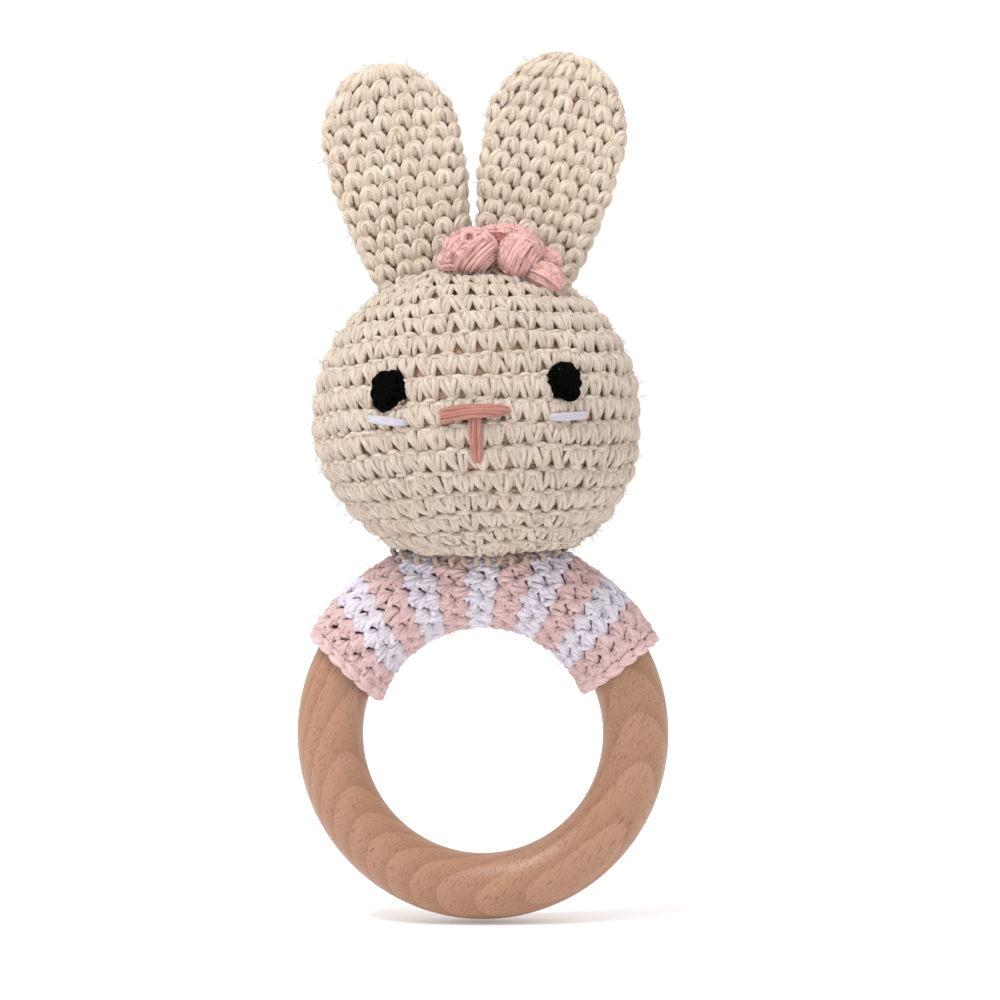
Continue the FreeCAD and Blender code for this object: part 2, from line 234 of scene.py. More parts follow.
class Skein:
    # collects strands of yarn and knits them into one mesh
    def __init__(self, sides=10, flat=0.9):
        self.sides = sides
        self.flat = flat
        self.parts = []
        self.count = 0

    def lay(self, centres, ups, radii, depth=None, toneShift=0.0):
        # centres and ups: strands x samples x 3, radii: strands x samples
        n, m, _ = centres.shape
        k = self.sides
        along = unit(np.gradient(centres, axis=1))
        side = unit(np.cross(along, ups))
        up = np.cross(side, along)
        turn = np.linspace(0, 2 * math.pi, k, endpoint=False)
        ring = (side[:, :, None] * np.cos(turn)[None, None, :, None]
                + up[:, :, None] * np.sin(turn)[None, None, :, None] * self.flat)
        points = centres[:, :, None] + ring * radii[:, :, None, None]
        steps = np.linalg.norm(np.diff(centres, axis=1), axis=2)
        length = np.concatenate([np.zeros((n, 1)), np.cumsum(steps, 1)], 1)
        length = length + rng.uniform(0, 30, (n, 1))
        tone = np.clip(rng.normal(0.5, 0.22, (n, 1)) + toneShift, 0, 1) * np.ones((n, m))
        # how much painted shade darkens each sample of the strand
        depth = np.zeros((n, m)) if depth is None else depth
        self.parts.append((points, length, tone, depth))
        return self

    def fuzz(self, number, length, radius=0.05):
        # loose fibres standing off the strands laid so far
        coat = Skein(sides=3, flat=1.0)
        sizes = np.array([p[1].shape[0] for p in self.parts], float)
        picks = rng.choice(len(self.parts), number, p=sizes / sizes.sum())
        roots, outs, sunkShades = [], [], []
        for pick in picks:
            points, reach, tone, depth = self.parts[pick]
            i = rng.integers(reach.shape[0])
            j = rng.integers(1, reach.shape[1] - 1)
            k = rng.integers(self.sides)
            middle = points[i, j].mean(0)
            roots.append(points[i, j, k])
            outs.append(points[i, j, k] - middle)
        roots, outs = np.array(roots), unit(np.array(outs))
        sway = unit(rng.normal(0, 1, (number, 3)))
        reach = length * rng.uniform(0.5, 1.4, (number, 1))
        path = np.stack([roots - outs * 0.1, roots + (outs * 0.45 + sway * 0.35) * reach,
                         roots + (outs * 0.55 + sway * 0.95) * reach], 1)
        coat.lay(path, np.repeat(unit(np.cross(outs, sway))[:, None], 3, 1), np.full((number, 3), radius),
                 toneShift=0.3)
        return coat

    def make(self, name, look):
        k = self.sides
        verts, faces, caps, us, vs, tones, sunkShades = [], [], [], [], [], [], []
        start = 0
        for points, length, tone, depth in self.parts:
            n, m = length.shape
            verts.append(points.reshape(-1, 3))
            tones.append(np.repeat(tone.reshape(-1), k))
            sunkShades.append(np.repeat(depth.reshape(-1), k))
            index = start + np.arange(n * m * k).reshape(n, m, k)
            nextSide = np.roll(index, -1, axis=2)
            quad = np.stack([index[:, :-1], nextSide[:, :-1], nextSide[:, 1:], index[:, 1:]], -1)
            faces.append(quad.reshape(-1, 4))
            u = np.repeat(length[:, :, None], k, 2)
            us.append(np.stack([u[:, :-1], u[:, :-1], u[:, 1:], u[:, 1:]], -1).reshape(-1))
            v = np.broadcast_to(np.arange(k) / k, (n, m - 1, k))
            vs.append(np.stack([v, v + 1 / k, v + 1 / k, v], -1).reshape(-1))
            caps.append(index[:, 0, ::-1].reshape(-1, k))
            caps.append(index[:, -1].reshape(-1, k))
            start += n * m * k
        quads = np.vstack(faces)
        ends = np.vstack(caps)
        mesh = bpy.data.meshes.new(name)
        mesh.vertices.add(start)
        mesh.vertices.foreach_set("co", (np.vstack(verts) * mm).astype(np.float32).reshape(-1))
        mesh.loops.add(quads.size + ends.size)
        mesh.loops.foreach_set("vertex_index", np.concatenate([quads.reshape(-1), ends.reshape(-1)]))
        mesh.polygons.add(len(quads) + len(ends))
        starts = np.concatenate([np.arange(len(quads)) * 4, quads.size + np.arange(len(ends)) * k])
        mesh.polygons.foreach_set("loop_start", starts)
        mesh.polygons.foreach_set("use_smooth", np.ones(len(quads) + len(ends), bool))
        uv = mesh.uv_layers.new(name="yarn")
        flatUv = np.zeros((quads.size + ends.size, 2), np.float32)
        flatUv[:quads.size, 0] = np.concatenate(us)
        flatUv[:quads.size, 1] = np.concatenate(vs)
        uv.data.foreach_set("uv", flatUv.reshape(-1))
        for label, values in (("tone", tones), ("depth", sunkShades)):
            mesh.attributes.new(label, "FLOAT", "POINT").data.foreach_set("value", np.concatenate(values))
        mesh.update()
        mesh.validate()
        return newPiece(name, mesh, look)


def newPiece(name, mesh, look):
    piece = bpy.data.objects.new(name, mesh)
    bpy.context.scene.collection.objects.link(piece)
    mesh.materials.append(look)
    return piece


def gridPiece(name, points, look):
    # a sheet of quads through rows x columns of points, closed round its columns
    rows, cols, _ = points.shape
    left = np.arange(rows * cols).reshape(rows, cols)
    right = np.roll(left, -1, 1)
    quads = np.stack([left[:-1], right[:-1], right[1:], left[1:]], -1).reshape(-1, 4)
    mesh = bpy.data.meshes.new(name)
    mesh.from_pydata((points.reshape(-1, 3) * mm).tolist(), [], quads.tolist())
    mesh.polygons.foreach_set("use_smooth", np.ones(len(quads), bool))
    mesh.update()
    return newPiece(name, mesh, look)


upperTurn = math.atan2(joints["head_nod"]["axis"][2], joints["head_nod"]["axis"][0])


def turned(points):
    # everything on the ring sits turned a little round it
    x, y, z = points[..., 0], points[..., 1], points[..., 2]
    c, s = math.cos(upperTurn), math.sin(upperTurn)
    return np.stack([x * c - z * s, y, x * s + z * c], -1)


def crochetRound(skein, surface, start, end, count, strands, phase=0.0, skew=0.0, flip=False,
                 samples=8, loose=0.035):
    # one round of stitches: each strand is given points of (across 0-1, up 0-1, height, radius)
    cells = np.arange(count)
    for points in strands:
        s, t, h, r = smoothPath(points, samples).T
        shake = rng.normal(0, loose, (len(cells), 2))
        lean = rng.normal(0, loose * 1.6, (len(cells), 1))
        slant = skew(((cells + 0.5 + phase) / count) % 1)[:, None] if callable(skew) else skew
        across = cells[:, None] + phase + s + (slant + lean) * (t - 0.5) + shake[:, :1]
        up = (1 - t if flip else t) + shake[:, 1:] * 0.8
        heights = h + rng.normal(0, 0.10, (len(cells), 1))
        centres, normals = surface((across / count) % 1.0, start + (end - start) * up, heights)
        radii = r * rng.normal(1, 0.07, (len(cells), 1)) * np.ones_like(up)
        # painted shade: the deeper a strand sinks, the darker it is painted
        depth = np.clip(-heights * 0.75, 0, 1.0)
        skein.lay(centres, normals, radii, depth)


ringCentre = 28.8       # the bar's centre line
sleeveOuter = 8.95      # how far the sleeve reaches from that line

# the striped sleeve: bands of two rows, worked round the bar
sleeve = {
    "firstDeg": 29.7, "lastDeg": 146.6, "bands": 11, "around": 15,
    "base": 7.95, "edge": 2.4, "swing": 1.25, "drift": 0.07, "shadeSheet": 0.7,
    "slantFirst": -5.1, "slantLast": 10.5,      # how far the inner edge runs on past the outer one
}


def sleeveSurface(around, alongDeg, height):
    # around 0 is the front of the tube; a quarter further is its inner side
    turn = around * 2 * math.pi
    inner = (1 - np.cos(turn + math.pi / 2)) / 2
    span = sleeve["lastDeg"] - sleeve["firstDeg"]
    share = (alongDeg - sleeve["firstDeg"]) / span
    slant = sleeve["slantFirst"] * (1 - share) + sleeve["slantLast"] * share
    # each row's edge swings in and out between the holes of the next
    rowAt = share * 2 * sleeve["bands"]
    calm = np.clip(rowAt, 0, 1) * np.clip(2 * sleeve["bands"] - rowAt, 0, 1)
    wave = sleeve["around"] * around - 0.5 - (0.5 + sleeve["drift"]) * rowAt
    swing = -sleeve["swing"] * calm * np.cos(2 * math.pi * wave)
    ring = np.radians(alongDeg + slant * (inner ** 1.5) + swing)
    outX, outY = np.cos(turn + math.pi / 2), -np.sin(turn + math.pi / 2)
    radial = np.stack([np.cos(ring), np.zeros_like(ring), np.sin(ring)], -1)
    normal = radial * outX[..., None] + np.array([0, 1.0, 0]) * outY[..., None]
    centre = radial * ringCentre + normal * (sleeve["base"] + height)[..., None]
    return turned(centre), turned(normal)


# strands fan out of a hole to meet the fans of the next row's holes
# those going up reach over the next row
fanSides = (-1.3, -0.9, -0.45, 0.0, 0.45, 0.9, 1.3)
sleeveFanUp = [
    [(0.5 + 0.08 * side, 0.10, -0.7, 0.32), (0.5 + 0.20 * side, 0.30 - 0.10 * abs(side), 0.15, 0.42),
     (0.5 + 0.33 * side, 0.62 - 0.24 * abs(side), 0.50, 0.52),
     (0.5 + 0.40 * side, 0.92 - 0.46 * abs(side), 0.42, 0.50),
     (0.5 + 0.43 * side, 1.22 - 0.78 * abs(side), -0.20, 0.38)] for side in fanSides
]
sleeveFanDown = [
    [(0.5 + 0.08 * side, 0.06, -0.7, 0.32), (0.5 + 0.22 * side, 0.16 - 0.05 * abs(side), 0.05, 0.40),
     (0.5 + 0.36 * side, 0.32 - 0.12 * abs(side), 0.22, 0.44),
     (0.5 + 0.43 * side, 0.48 - 0.26 * abs(side), -0.30, 0.38)] for side in fanSides
]
chainStitch = [
    [(-0.15, 0.15, -0.1, 0.38), (0.25, 0.10, 0.40, 0.66), (0.75, 0.35, 0.45, 0.70), (1.10, 0.50, -0.1, 0.45)],
    [(-0.15, 0.95, -0.1, 0.38), (0.25, 0.95, 0.40, 0.66), (0.75, 0.70, 0.45, 0.70), (1.10, 0.50, -0.1, 0.45)],
]

pinkYarn = yarnLook("pinkCotton", rgb(222, 194, 192), rgb(140, 86, 86), plies=3, twist=0.22, fibre=0.20)
whiteYarn = yarnLook("whiteCotton", rgb(226, 221, 231), rgb(140, 116, 134), plies=3, twist=0.22, fibre=0.16)

sleeveSkeins = {name: Skein(sides=8) for name in ("pinkRight", "pinkLeft", "whiteRight", "whiteLeft")}
rowDeg = (sleeve["lastDeg"] - sleeve["firstDeg"]) / (2 * sleeve["bands"])
for row in range(2 * sleeve["bands"]):
    side = "Right" if row < sleeve["bands"] else "Left"
    skein = sleeveSkeins[("white" if (row // 2) % 2 else "pink") + side]
    low = sleeve["firstDeg"] + row * rowDeg
    for back in (False, True):
        crochetRound(skein, sleeveSurface, low, low + rowDeg, sleeve["around"],
                     sleeveFanDown if back else sleeveFanUp,
                     phase=0.5 * row + 0.5 * back + sleeve["drift"] * (row + back), flip=back,
                     samples=7, loose=0.04)
for low, high in ((sleeve["firstDeg"], sleeve["firstDeg"] - sleeve["edge"]),
                  (sleeve["lastDeg"], sleeve["lastDeg"] + sleeve["edge"])):
    skein = sleeveSkeins["pinkRight" if high < low else "pinkLeft"]
    crochetRound(skein, sleeveSurface, low, high, sleeve["around"] + 1, chainStitch, loose=0.03)
seamSkein = Skein(sides=8)
whipStitch = [(0.315, 0.2, 0.2, 0.3), (0.335, 0.4, 1.15, 0.5), (0.36, 0.65, 1.15, 0.5), (0.38, 0.9, 0.2, 0.3)]
whip = smoothPath(whipStitch, 8)
for row in range(2 * sleeve["bands"]):
    low = sleeve["firstDeg"] + row * rowDeg
    centres, normals = sleeveSurface(whip[None, :, 0], low + rowDeg * whip[None, :, 1], whip[None, :, 2])
    seamSkein.lay(centres, normals, whip[None, :, 3])

aroundGrid, alongGrid = np.meshgrid(np.linspace(0, 1, 40, endpoint=False),
                                    np.linspace(sleeve["firstDeg"] - 0.5, sleeve["lastDeg"] + 0.5, 60))
# painted shade: a sheet under the rows, coloured darker than the yarn, shows as the shade in the holes
sleeveShadeLook = Look("pinkShadeBacking", roughness=0.95)
sleeveShadeLook.wear(Base_Color=sleeveShadeLook.mix(sleeveShadeLook.noise(900, 2.0), rgb(150, 100, 100), rgb(120, 76, 76)))
corePoints, _ = sleeveSurface(aroundGrid, alongGrid, np.full_like(alongGrid, -sleeve["shadeSheet"]))
sleeveShadeSheet = gridPiece("sleeveShadeBacking", corePoints, sleeveShadeLook.material)
sleevePieces = {
    "sleevePinkRowsRight": (sleeveSkeins["pinkRight"], pinkYarn, "pink_cotton",
                            ("sleeve_pink_rows", "sleeve_edge_right")),
    "sleevePinkRowsLeft": (sleeveSkeins["pinkLeft"], pinkYarn, "pink_cotton",
                           ("sleeve_pink_rows", "sleeve_edge_left")),
    "sleeveWhiteRowsRight": (sleeveSkeins["whiteRight"], whiteYarn, "white_cotton", ("sleeve_white_rows",)),
    "sleeveWhiteRowsLeft": (sleeveSkeins["whiteLeft"], whiteYarn, "white_cotton", ("sleeve_white_rows",)),
    "sleeveSeam": (seamSkein, pinkYarn, "pink_cotton", ("sleeve_seam_thread",)),
    "sleevePinkFuzz": (sleeveSkeins["pinkLeft"].fuzz(500, 1.1), pinkYarn, "pink_cotton", ()),
    "sleeveWhiteFuzz": (sleeveSkeins["whiteRight"].fuzz(400, 1.1), whiteYarn, "white_cotton", ()),
}
for name, (skein, look, slot, nodes) in sleevePieces.items():
    piece = skein.make(name, look)
    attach(piece, "sleeve")
    if nodes:
        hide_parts(*nodes)
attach(sleeveShadeSheet, "sleeve")
print("sleeve: rows laid")

# the stuffed head: an oval of rounds, flat where it is sewn down
head = {
    "centreZ": 59.5, "half": 30.05, "halfHeight": 28.0, "fullness": 2.1, "neckZ": 34.6,
    "rowHeight": 4.3, "stitchWidth": 3.64, "around": 54, "clearOfSleeve": 0.45,
    "chinShift": 1.7, "tiltDeg": 2.2,      # the rows run up to one side a little
    "shadeSheet": 0.85, "crown": 1.2, "underEnd": 9, "partLength": 17.3,
}
steps = np.linspace(0, math.pi, 721)
power = 2 / head["fullness"]
profileR = head["half"] * np.sin(steps) ** power
profileZ = head["halfHeight"] * np.sign(np.cos(steps)) * np.abs(np.cos(steps)) ** power
flatZ = head["neckZ"] - head["centreZ"]
profileZ = flatZ + np.logaddexp(0, (profileZ - flatZ) / 0.7) * 0.7      # rounded off flat at the neck
profileV = np.concatenate([[0], np.cumsum(np.hypot(np.diff(profileR), np.diff(profileZ)))])
slopeR = np.gradient(profileR, profileV)
slopeZ = np.gradient(profileZ, profileV)


def leaning(points, degrees):
    # turns points about the middle of the head, in the plane of the ring
    a = math.radians(degrees)
    x, z = points[..., 0], points[..., 2] - head["centreZ"]
    return np.stack([x * math.cos(a) - z * math.sin(a), points[..., 1],
                     x * math.sin(a) + z * math.cos(a) + head["centreZ"]], -1)


def offSleeve(points, clear):
    # pushes points out of the room the sleeve needs below the head
    inRing = np.stack([points[..., 0], np.zeros_like(points[..., 0]), points[..., 2]], -1)
    core = unit(inRing) * ringCentre
    away = points - core
    gap = np.linalg.norm(away, axis=-1, keepdims=True)
    need = sleeveOuter + clear
    return np.where(gap < need, core + away / np.maximum(gap, 1e-6) * need, points)


def headSurface(around, along, height):
    # around 0.5 is the middle of the face, along runs down from the crown in millimetres
    turn = around * 2 * math.pi
    r = np.interp(along, profileV, profileR)
    calm = np.clip(r / 12, 0, 1)
    along = along + calm * (0.32 * np.sin(turn * 3 + 1.2) + 0.22 * np.sin(turn * 7 + along * 0.31))
    height = height + calm * (0.16 * np.sin(turn * 5 + along * 0.21) + 0.12 * np.sin(turn * 11 - along * 0.4))
    z = np.interp(along, profileV, profileZ)
    dr = np.interp(along, profileV, slopeR)
    dz = np.interp(along, profileV, slopeZ)
    outX, outY = np.sin(turn), np.cos(turn)
    normal = unit(np.stack([outX * -dz, outY * -dz, dr], -1))
    base = np.stack([outX * r, outY * r, head["centreZ"] + z], -1)
    points = leaning(base + normal * height[..., None], head["tiltDeg"])
    points[..., 0] += head["chinShift"] * np.clip((head["centreZ"] - 6 - points[..., 2]) / 18, 0, 1) ** 1.2
    points = offSleeve(points, head["clearOfSleeve"] + 0.75)
    return turned(points), turned(normal)


def twin(strand, gap, thin=0.62, lift=0.08):
    # two thinner strands side by side in place of one
    return [[(s + side * gap, t, h + lift * side, r * thin) for s, t, h, r in strand] for side in (-1, 1)]


headStitch = (
    twin([(0.14, 1.03, -0.60, 0.60), (0.13, 0.86, 0.14, 0.84), (0.21, 0.60, 0.40, 0.90),
          (0.34, 0.30, 0.18, 0.78), (0.44, 0.00, -0.60, 0.60)], 0.09)
    + twin([(0.85, 1.03, -0.60, 0.60), (0.86, 0.86, 0.14, 0.86), (0.79, 0.60, 0.42, 0.92),
            (0.66, 0.30, 0.20, 0.80), (0.56, 0.00, -0.60, 0.60)], -0.09)
    + twin([(0.50, 1.03, -0.50, 0.56), (0.50, 0.86, 0.16, 0.80), (0.50, 0.62, 0.18, 0.76),
            (0.50, 0.34, -0.45, 0.50)], 0.085)
    + [[(-0.45, 0.86, -0.55, 0.42), (-0.15, 0.92, 0.05, 0.60), (0.15, 0.92, 0.05, 0.60),
        (0.45, 0.86, -0.55, 0.42)],
       [(0.05, 0.96, -0.60, 0.42), (0.35, 1.04, -0.05, 0.58), (0.65, 1.04, -0.05, 0.58),
        (0.95, 0.96, -0.60, 0.42)],
       [(-0.42, 0.04, -0.95, 0.50), (0.0, 0.06, -0.75, 0.55), (0.42, 0.04, -0.95, 0.50)]]
)


def headSlant(around):
    # stitches lean more on one cheek than on the other
    return 0.16 + 0.20 * np.sin(2 * math.pi * (around - 0.5))


creamYarn = yarnLook("creamCotton", rgb(221, 207, 192), rgb(150, 114, 84), plies=3, twist=0.3, fibre=0.42)
# painted light: the ears' yarn is a lighter copy of the head's cream yarn
litEarYarn = yarnLook("creamEarLitCotton", rgb(229, 215, 197), rgb(160, 124, 92), plies=3, twist=0.3, fibre=0.42)
# painted shade: a brown sheet under the head's and ears' stitches, standing for the shade seen through their
# holes
creamShadeBacking = Look("creamShadeBacking", roughness=0.95)
creamShadeBacking.wear(Base_Color=creamShadeBacking.mix(creamShadeBacking.noise(900, 2.0),
                                            rgb(226, 190, 158), rgb(204, 164, 128)),
                 Normal=creamShadeBacking.bump(creamShadeBacking.noise(1500, 3.0), 0.0003, 0.8))

headSkeins = [Skein(sides=7) for _ in range(5)]
along = head["crown"]
row = 0
while along < profileV[-1] - head["underEnd"]:
    middle = along + head["rowHeight"] / 2
    girth = 2 * math.pi * np.interp(middle, profileV, profileR)
    count = int(round(girth / head["stitchWidth"] / 6)) * 6
    count = min(head["around"], max(6, count))
    if girth / head["stitchWidth"] > 50.5:
        count = head["around"]
    skein = headSkeins[min(4, int(along // head["partLength"]))]
    crochetRound(skein, headSurface, along + head["rowHeight"], along, count, headStitch,
                 phase=-0.04 * row, skew=headSlant, loose=0.045, samples=7)
    along += head["rowHeight"]
    row += 1
for part, skein in zip(("Crown", "Brow", "Face", "Cheek", "Chin"), headSkeins):
    piece = skein.make("head" + part + "Rows", creamYarn)
    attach(piece, "head")
    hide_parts("head_cover")
    print("head:", piece.name, len(piece.data.polygons), "faces")

headFuzz = headSkeins[0].fuzz(700, 1.0)
for skein in headSkeins[1:]:
    headFuzz.parts += skein.fuzz(900, 1.0).parts
headFuzz = headFuzz.make("headFuzz", creamYarn)
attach(headFuzz, "head")

aroundGrid, alongGrid = np.meshgrid(np.linspace(0, 1, 96, endpoint=False),
                                    np.linspace(0.05, profileV[-1] - 0.1, 64))
# the sheet of painted shade under the head's stitches
headShadePoints, _ = headSurface(aroundGrid, alongGrid, np.full_like(alongGrid, -head["shadeSheet"]))
shadeSheet = gridPiece("headShadeBacking", headShadePoints, creamShadeBacking.material)
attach(shadeSheet, "head")

# the ears: flat tubes, rounded at the tip
earShape = {
    "leanDeg": {"left": 12.9, "right": -11.8},
    "footHalf": 8.2, "halfThick": 1.75, "rowHeight": 3.1, "stitchWidth": 3.7, "tipBow": 2.4, "sink": 2.2,
    "tipRound": 3.2, "shadeSheet": 0.75, "bendFrom": 0.5, "bendTo": 7.0,
}
earArch = [(0.17, -0.10, -0.55, 0.42), (0.15, 0.18, 0.20, 0.54), (0.16, 0.55, 0.42, 0.60),
           (0.30, 0.90, 0.30, 0.58), (0.50, 1.04, 0.12, 0.54), (0.70, 0.90, 0.30, 0.58),
           (0.84, 0.55, 0.42, 0.60), (0.85, 0.18, 0.20, 0.54), (0.83, -0.10, -0.55, 0.42)]
earStitch = [     # two arches one inside the other with their middle, open at the bottom
    [(0.5 + (s - 0.5) * wide, 0.30 + (t - 0.30) * high, h + lift, r) for s, t, h, r in earArch]
    for wide, high, lift in ((1.14, 1.08, -0.10), (0.66, 0.80, 0.10))
] + twin([(0.50, 0.26, -0.45, 0.50), (0.50, 0.46, 0.24, 0.66), (0.50, 0.74, 0.40, 0.66)], 0.07, 0.7) + [
    [(0.10, 0.02, -0.85, 0.55), (0.50, 0.06, -0.60, 0.60), (0.90, 0.02, -0.85, 0.55)],
]


class Ear:
    # where one ear stands, read from its CAD solid and its hinge
    def __init__(self, name):
        hinge = joints["ear_" + name + "_flop"]
        lean = earShape["leanDeg"][name] - math.degrees(upperTurn)
        self.name = name
        self.across = np.array([math.cos(math.radians(lean)), 0, -math.sin(math.radians(lean))])
        self.out = np.array([0, -1.0, 0])
        self.along = np.array([-self.across[2], 0, self.across[0]])
        co = np.array([v.co for v in frame["nodes"]["ear_" + name].data.vertices]) / mm
        rises = co @ self.along
        foot = np.array(hinge["pos_m"]) / mm
        self.base = foot - self.along * (foot @ self.along - rises.min() + 0.2)
        self.length = rises.max() - self.base @ self.along - 0.9
        wide = (co - foot) @ self.across
        self.half = (wide.max() - wide.min()) / 2 - 1.0

    def halfWidth(self, v):
        d = np.clip(self.length - v, 0, None)
        tip = np.sqrt(np.clip(self.half ** 2 - np.clip(self.half - d, 0, None) ** 2, 0, None))
        side = self.half - (self.half - earShape["footHalf"]) * np.clip(
            (self.length - self.half - v) / (self.length - self.half), 0, None) ** 2
        return np.where(d < self.half, tip, side)

    def surface(self, around, v, height):
        # a flat tube: half its girth in front, half behind
        d = np.clip(self.length - v, 0.02, None)
        wide = self.halfWidth(v)
        thick = earShape["halfThick"] * np.sqrt(1 - np.clip(1 - d / earShape["tipRound"], 0, 1) ** 2)
        thick = np.minimum(thick, wide * 0.98 + 0.01)
        flat = np.clip(wide - thick, 0, None)
        edge = math.pi * thick
        girth = 4 * flat + 2 * edge
        p = (around % 1.0) * girth
        x = np.zeros_like(p)
        y = np.zeros_like(p)
        nx = np.zeros_like(p)
        ny = np.zeros_like(p)
        front = p < 2 * flat
        x[front], y[front], ny[front] = (-flat + p)[front], thick[front], 1
        q = p - 2 * flat
        turnR = (q >= 0) & (q < edge)
        a = math.pi / 2 - q / np.maximum(edge, 1e-6) * math.pi
        x[turnR], y[turnR] = (flat + thick * np.cos(a))[turnR], (thick * np.sin(a))[turnR]
        nx[turnR], ny[turnR] = np.cos(a)[turnR], np.sin(a)[turnR]
        q = q - edge
        back = (q >= 0) & (q < 2 * flat)
        x[back], y[back], ny[back] = (flat - q)[back], -thick[back], -1
        q = q - 2 * flat
        turnL = q >= 0
        a = -math.pi / 2 - q / np.maximum(edge, 1e-6) * math.pi
        x[turnL], y[turnL] = (-flat + thick * np.cos(a))[turnL], (thick * np.sin(a))[turnL]
        nx[turnL], ny[turnL] = np.cos(a)[turnL], np.sin(a)[turnL]
        tipShare = np.clip(v / self.length, 0, 1)
        bow = earShape["tipBow"] * tipShare ** 2 * (x / self.half) ** 2
        tipUp = np.clip(1 - d / earShape["tipRound"], 0, 1)
        normal = unit(nx[..., None] * self.across + ny[..., None] * self.out + tipUp[..., None] * self.along)
        points = (self.base + x[..., None] * self.across + y[..., None] * self.out
                  + (v - bow)[..., None] * self.along + normal * height[..., None])
        return points, normal


for name in ("left", "right"):
    ear = Ear(name)
    skein = Skein(sides=7)
    v = -earShape["sink"]
    row = 0
    while v < ear.length - 0.8:
        wide = float(ear.halfWidth(np.array(v + earShape["rowHeight"] / 2)))
        girth = 4 * max(wide - earShape["halfThick"], 0) + 2 * math.pi * earShape["halfThick"]
        count = max(5, int(round(girth / earShape["stitchWidth"])))
        top = min(v + earShape["rowHeight"], ear.length - 0.1)
        crochetRound(skein, ear.surface, v, top, count, earStitch,
                     phase=0.3 + 0.37 * row, skew=0.05, samples=12)
        v += earShape["rowHeight"]
        row += 1
    piece = skein.make("ear" + name.capitalize(), litEarYarn)
    aroundGrid, alongGrid = np.meshgrid(np.linspace(0, 1, 64, endpoint=False),
                                        np.linspace(-2, ear.length - 0.4, 40))
    # the sheet of painted shade under the ear's stitches
    corePoints, _ = ear.surface(aroundGrid, alongGrid, np.full_like(alongGrid, -earShape["shadeSheet"]))
    core = gridPiece("ear" + name.capitalize() + "Lining", corePoints, creamShadeBacking.material)
    start = (ear.base + ear.along * earShape["bendFrom"]) * mm
    end = (ear.base + ear.along * earShape["bendTo"]) * mm
    fuzz = skein.fuzz(500, 1.2).make("ear" + name.capitalize() + "Fuzz", litEarYarn)
    for part in (piece, core, fuzz):
        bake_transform(part)
    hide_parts("ear_" + name, "ear_seam_" + name)
    print("ear", name, len(piece.data.polygons), "faces")


def onFace(x, z, height):
    # a place on the front of the head, over given x and z of the upright frame
    flat = leaning(np.stack([x, np.zeros_like(x), z], -1), -head["tiltDeg"])
    x, z = flat[..., 0], flat[..., 2]
    along = np.interp(head["centreZ"] - z, -profileZ, profileV)
    r = np.interp(along, profileV, profileR)
    return headSurface(0.5 - np.arcsin(x / r) / (2 * math.pi), along, height)


# the neck's seam: one slanting loop over each of its CAD stitches
neckSeam = {"stitches": 28, "yarn": 0.50, "tuck": 1.8}
neckCo = np.array([v.co for v in frame["nodes"]["neck_seam_stitches"].data.vertices]) / mm
neckTurn = np.degrees(np.arctan2(neckCo[:, 1], neckCo[:, 0])) % 360
neckBins = np.floor(neckTurn / (360 / neckSeam["stitches"])).astype(int)
neckSkein = Skein(sides=8)
for i in range(neckSeam["stitches"]):
    spot = neckCo[neckBins == i].mean(0)
    outward = unit(np.array([spot[0], spot[1], 0.0]))
    sideways = np.array([-outward[1], outward[0], 0.0]) * (0.5 if i % 2 else -0.5)
    up = np.array([0, 0, 1.0])
    spot = spot - outward * neckSeam["tuck"] * outward[0] ** 2      # in under the head at its two sides
    loop = [spot + up * 1.2 - outward * 0.4 - sideways, spot + up * 0.5 + outward * 0.1,
            spot - up * 0.1 - outward * 0.2, spot - up * 0.5 - outward * 0.8 + sideways]
    path = smoothPath(loop, 9)[None]
    # painted shade: every loop of the seam is painted darker, as it sits under the head
    neckSkein.lay(path, np.broadcast_to(outward, path.shape),
                  np.full((1, 9), neckSeam["yarn"]), np.full((1, 9), 0.35))
neck = neckSkein.make("neckSeam", creamYarn)
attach(neck, "head")
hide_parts("neck_seam_stitches")
print("neck: sewn down")

# the face: eyes, cheek stitches, nose and mouth are all laid on the head's surface
blackYarn = yarnLook("blackYarn", rgb(9, 9, 9), rgb(1, 1, 2), plies=3, twist=0.5, roughness=0.95, sheen=0.0,
                     shine=0.02)
blackFill = Look("blackFill", roughness=0.95, Specular_IOR_Level=0.02)
blackFill.wear(Base_Color=blackFill.mix(blackFill.noise(2000, 2.0), rgb(6, 6, 7), rgb(2, 2, 3)))
flossYarn = yarnLook("mauveFloss", rgb(206, 142, 126), rgb(120, 62, 52), plies=2, twist=0.25, fibre=0.34,
                     roughness=0.6)
whiteThread = yarnLook("whiteThread", rgb(206, 200, 210), rgb(166, 154, 172), plies=2, twist=0.2,
                       roughness=0.6)

eyeShape = {
    # each outline runs once round its eye's middle
    "left": {"at": (15.6, 64.9),
             "outline": [(-1.95, 2.54), (0.19, 3.29), (1.86, 2.44), (2.88, 0.38), (2.60, -1.50),
                         (2.23, -3.20), (0.84, -3.38), (-1.49, -2.44), (-2.88, -0.75), (-2.79, 1.32)]},
    "right": {"at": (-15.1, 63.6),
              "outline": [(-2.0, 3.2), (0.2, 3.5), (2.1, 3.1), (2.9, 0.8), (2.9, -1.2), (1.0, -2.5),
                          (-0.3, -3.5), (-1.7, -3.4), (-2.9, -1.6), (-2.9, 1.2)]},
    "dome": 1.7, "yarn": 0.58,
}


def eyeStrand(eye, points, radius):
    # points: across and up in units of the outline, then height
    x, z = eye["at"]
    p = smoothPath(points, 12)
    centres, normals = onFace(x + p[:, 0], z + p[:, 1], p[:, 2] + 0.5)
    return centres[None], normals[None], np.full((1, 12), radius)


